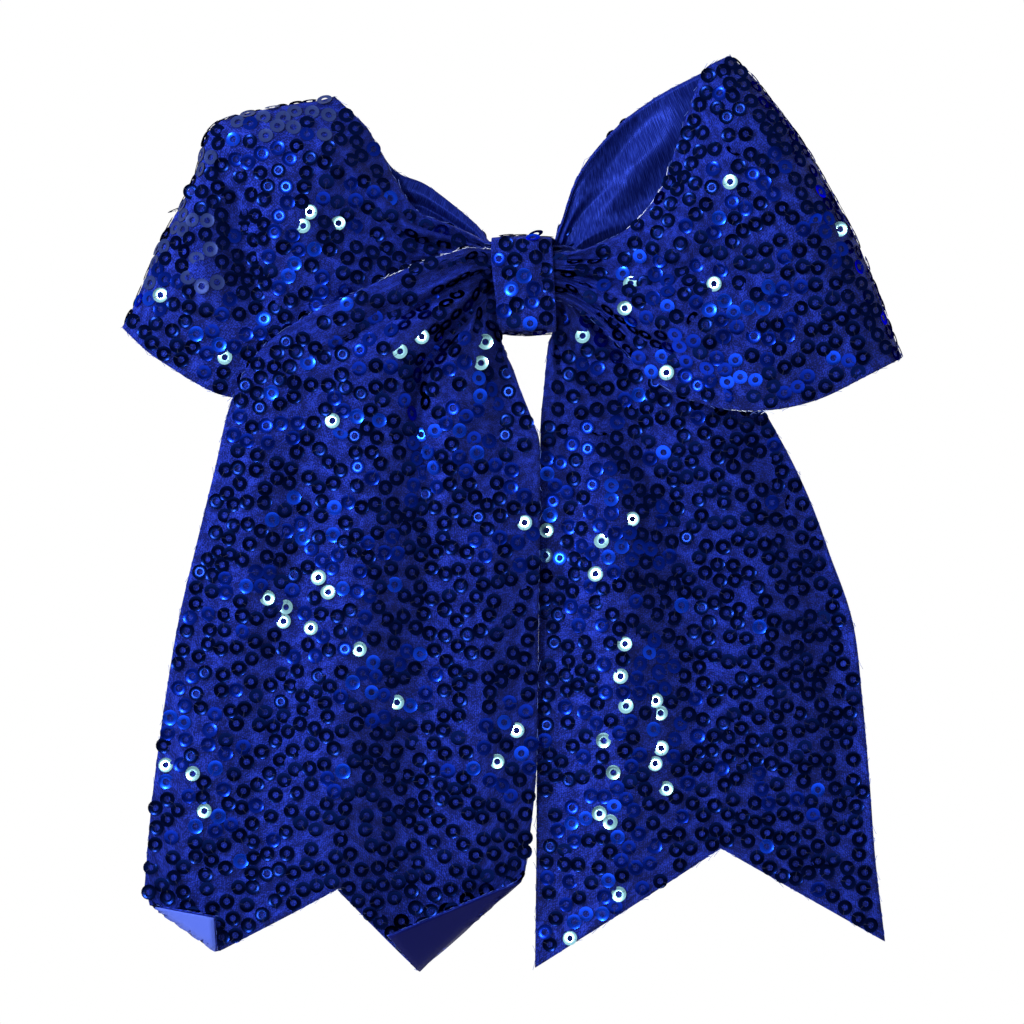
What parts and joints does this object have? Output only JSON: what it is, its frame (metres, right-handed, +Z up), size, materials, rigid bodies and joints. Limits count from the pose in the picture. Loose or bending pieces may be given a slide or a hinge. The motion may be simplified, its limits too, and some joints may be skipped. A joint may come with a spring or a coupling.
{
  "type": "cheer hair bow",
  "caption": "Sequined cheer hair bow with two lined ribbon loops, two swallow-tailed tails, a narrow knot wrap and a spring hair clip behind the knot.",
  "frame": {"origin": "where the clip's teeth meet its ribbon-covered upper arm, straight behind the knot: the point where the hair is gripped", "axes": "+Z up as worn, with the tails hanging down along -Z; the bow faces -Y and the hair is at +Y; +X is to the right as seen from the front"},
  "size_m": [0.169, 0.036, 0.1993],
  "materials": {
    "sequin_cloth": "knitted cloth covered with shiny cupped sequins",
    "satin": "satin sheen",
    "thread": "waxed thread",
    "felt": "matt felt",
    "glue": "hot-melt glue, cloudy",
    "grosgrain": "cross-ribbed ribbon",
    "clip_steel": "nickel-plated spring steel"
  },
  "bodies": {
    "bow": {"left_loop_face": "sequin_cloth", "left_loop_lining": "satin", "right_loop_face": "sequin_cloth", "right_loop_lining": "satin", "left_tail_top_face": "sequin_cloth", "left_tail_top_lining": "satin", "right_tail_top_face": "sequin_cloth", "right_tail_top_lining": "satin", "ribbon_pinch": "sequin_cloth", "binding_thread": "thread", "knot_wrap_face": "sequin_cloth", "knot_wrap_lining": "satin", "pad_glue": "glue", "felt_pad": "felt", "clip_glue": "glue", "clip_cover": "grosgrain", "clip_upper_arm": "clip_steel", "clip_pin": "clip_steel", "clip_spring": "clip_steel"},
    "clip_jaw": {"clip_lower_jaw": "clip_steel"},
    "left_tail": {"left_tail_face": "sequin_cloth", "left_tail_lining": "satin"},
    "right_tail": {"right_tail_face": "sequin_cloth", "right_tail_lining": "satin"}
  },
  "joints": [
    {"name": "clip_jaw_hinge", "type": "hinge", "parent": "bow", "child": "clip_jaw", "pos_m": [0.011, 0.002, 0], "axis": [0, 0, -1], "range_deg": [0, 28], "stiffness_Nm_per_rad": 0.05, "springref_deg": -28.65, "deforming": ["clip_spring"]},
    {"name": "left_tail_swing", "type": "hinge", "parent": "bow", "child": "left_tail", "pos_m": [-0.033, -0.02, -0.032], "axis": [-1, 0, 0], "range_deg": [-20, 35], "stiffness_Nm_per_rad": 0.003},
    {"name": "right_tail_swing", "type": "hinge", "parent": "bow", "child": "right_tail", "pos_m": [0.027, -0.0135, -0.032], "axis": [-1, 0, 0], "range_deg": [-20, 35], "stiffness_Nm_per_rad": 0.003}
  ]
}
